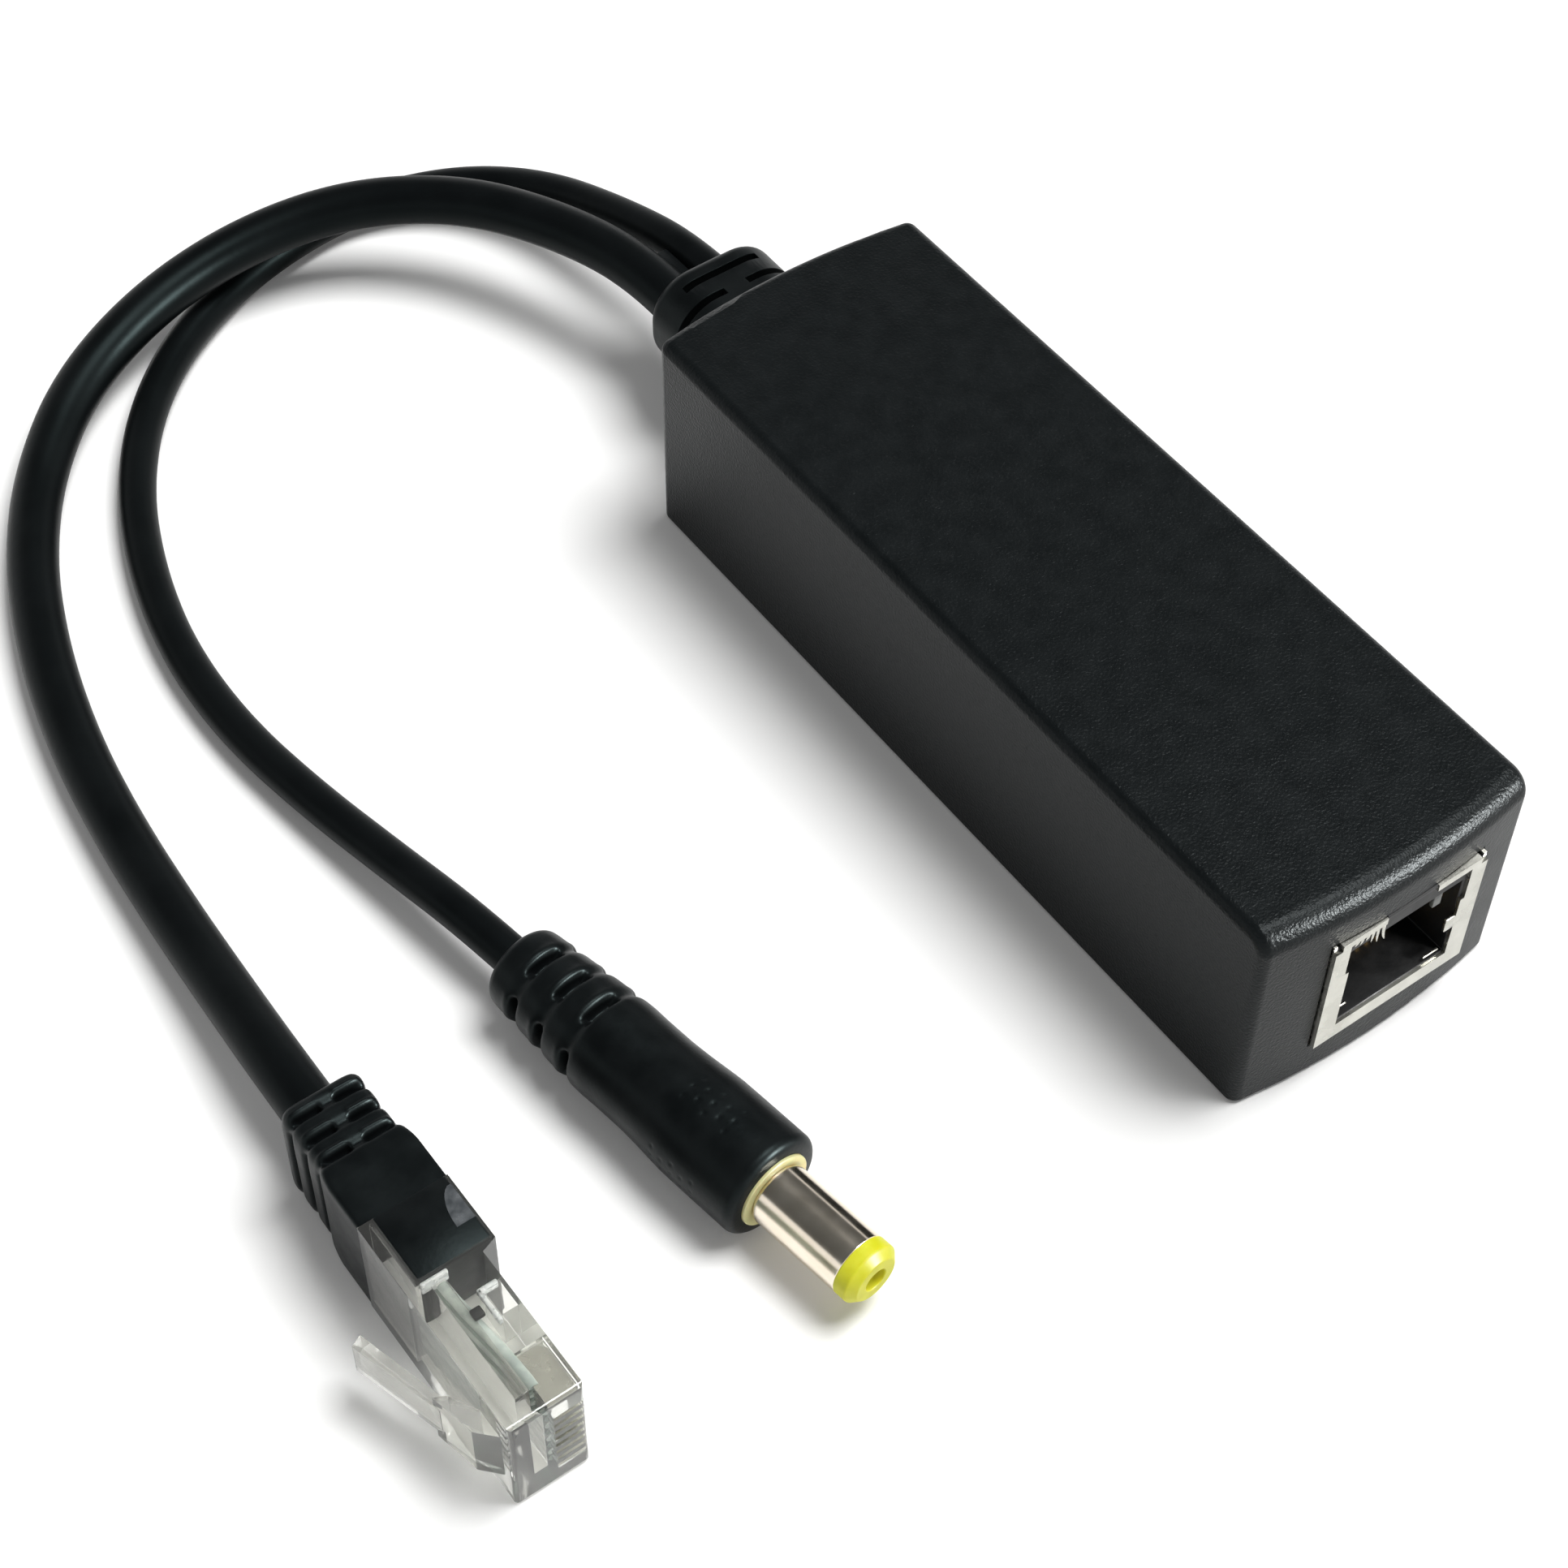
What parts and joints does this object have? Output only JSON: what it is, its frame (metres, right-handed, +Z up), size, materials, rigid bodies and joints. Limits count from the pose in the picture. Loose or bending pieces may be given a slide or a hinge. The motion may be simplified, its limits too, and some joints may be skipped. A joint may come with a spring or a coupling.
{
  "type": "power over ethernet splitter",
  "caption": "Small moulded box with a shielded network jack in one end and two short cables from the other, one to a network plug and one to a barrel power plug.",
  "frame": {"origin": "bottom centre of the housing, on the surface it lies on", "axes": "+X across the housing to the right seen from the jack, +Y from the jack towards the cable gland, +Z up"},
  "size_m": [0.0981, 0.1341, 0.0222],
  "materials": {
    "moulded_housing": "fine spark-eroded texture",
    "circuit_board": "green solder mask",
    "jack_shield": "bright nickel-plated sheet",
    "jack_insert": "smooth black",
    "gold_contacts": "gold-plated",
    "soft_moulding": "satin black PVC",
    "cable_jacket": "semi-gloss black PVC",
    "wire_insulation": "coloured insulation",
    "clear_plug": "clear polycarbonate",
    "pale_insulator": "pale yellow",
    "nickel_barrel": "bright nickel",
    "yellow_insulator": "lemon yellow, smooth",
    "chip_pack": "black epoxy with tinned leads",
    "optocoupler_pack": "white epoxy",
    "capacitor_sleeve": "shrink sleeve",
    "ferrite": "sintered grey",
    "winding_tape": "yellow tape",
    "copper_winding": "enamelled copper",
    "ceramic_chips": "ceramic with tinned ends"
  },
  "bodies": {
    "root": {"housing_shell": "moulded_housing", "bottom_cover": "moulded_housing", "circuit_board": "circuit_board", "jack_shield": "jack_shield", "jack_insert": "jack_insert", "jack_contacts": "gold_contacts", "cable_grommet": "soft_moulding", "network_tail": "cable_jacket", "power_tail": "cable_jacket", "network_cable": "cable_jacket", "power_cable": "cable_jacket", "network_wires": "wire_insulation", "power_wires": "wire_insulation", "plug_body": "clear_plug", "plug_contacts": "gold_contacts", "plug_boot": "soft_moulding", "dc_handle": "soft_moulding", "dc_collar": "pale_insulator", "dc_barrel": "nickel_barrel", "dc_tip": "yellow_insulator", "dc_centre_contact": "gold_contacts", "network_transformer": "chip_pack", "bridge_rectifier_front": "chip_pack", "bridge_rectifier_back": "chip_pack", "controller_chip": "chip_pack", "output_diode": "chip_pack", "optocoupler": "optocoupler_pack", "input_capacitor": "capacitor_sleeve", "output_capacitor": "capacitor_sleeve", "transformer_core": "ferrite", "transformer_bobbin": "winding_tape", "choke_core": "ferrite", "choke_winding": "copper_winding", "chip_components": "ceramic_chips"}
  },
  "joints": []
}
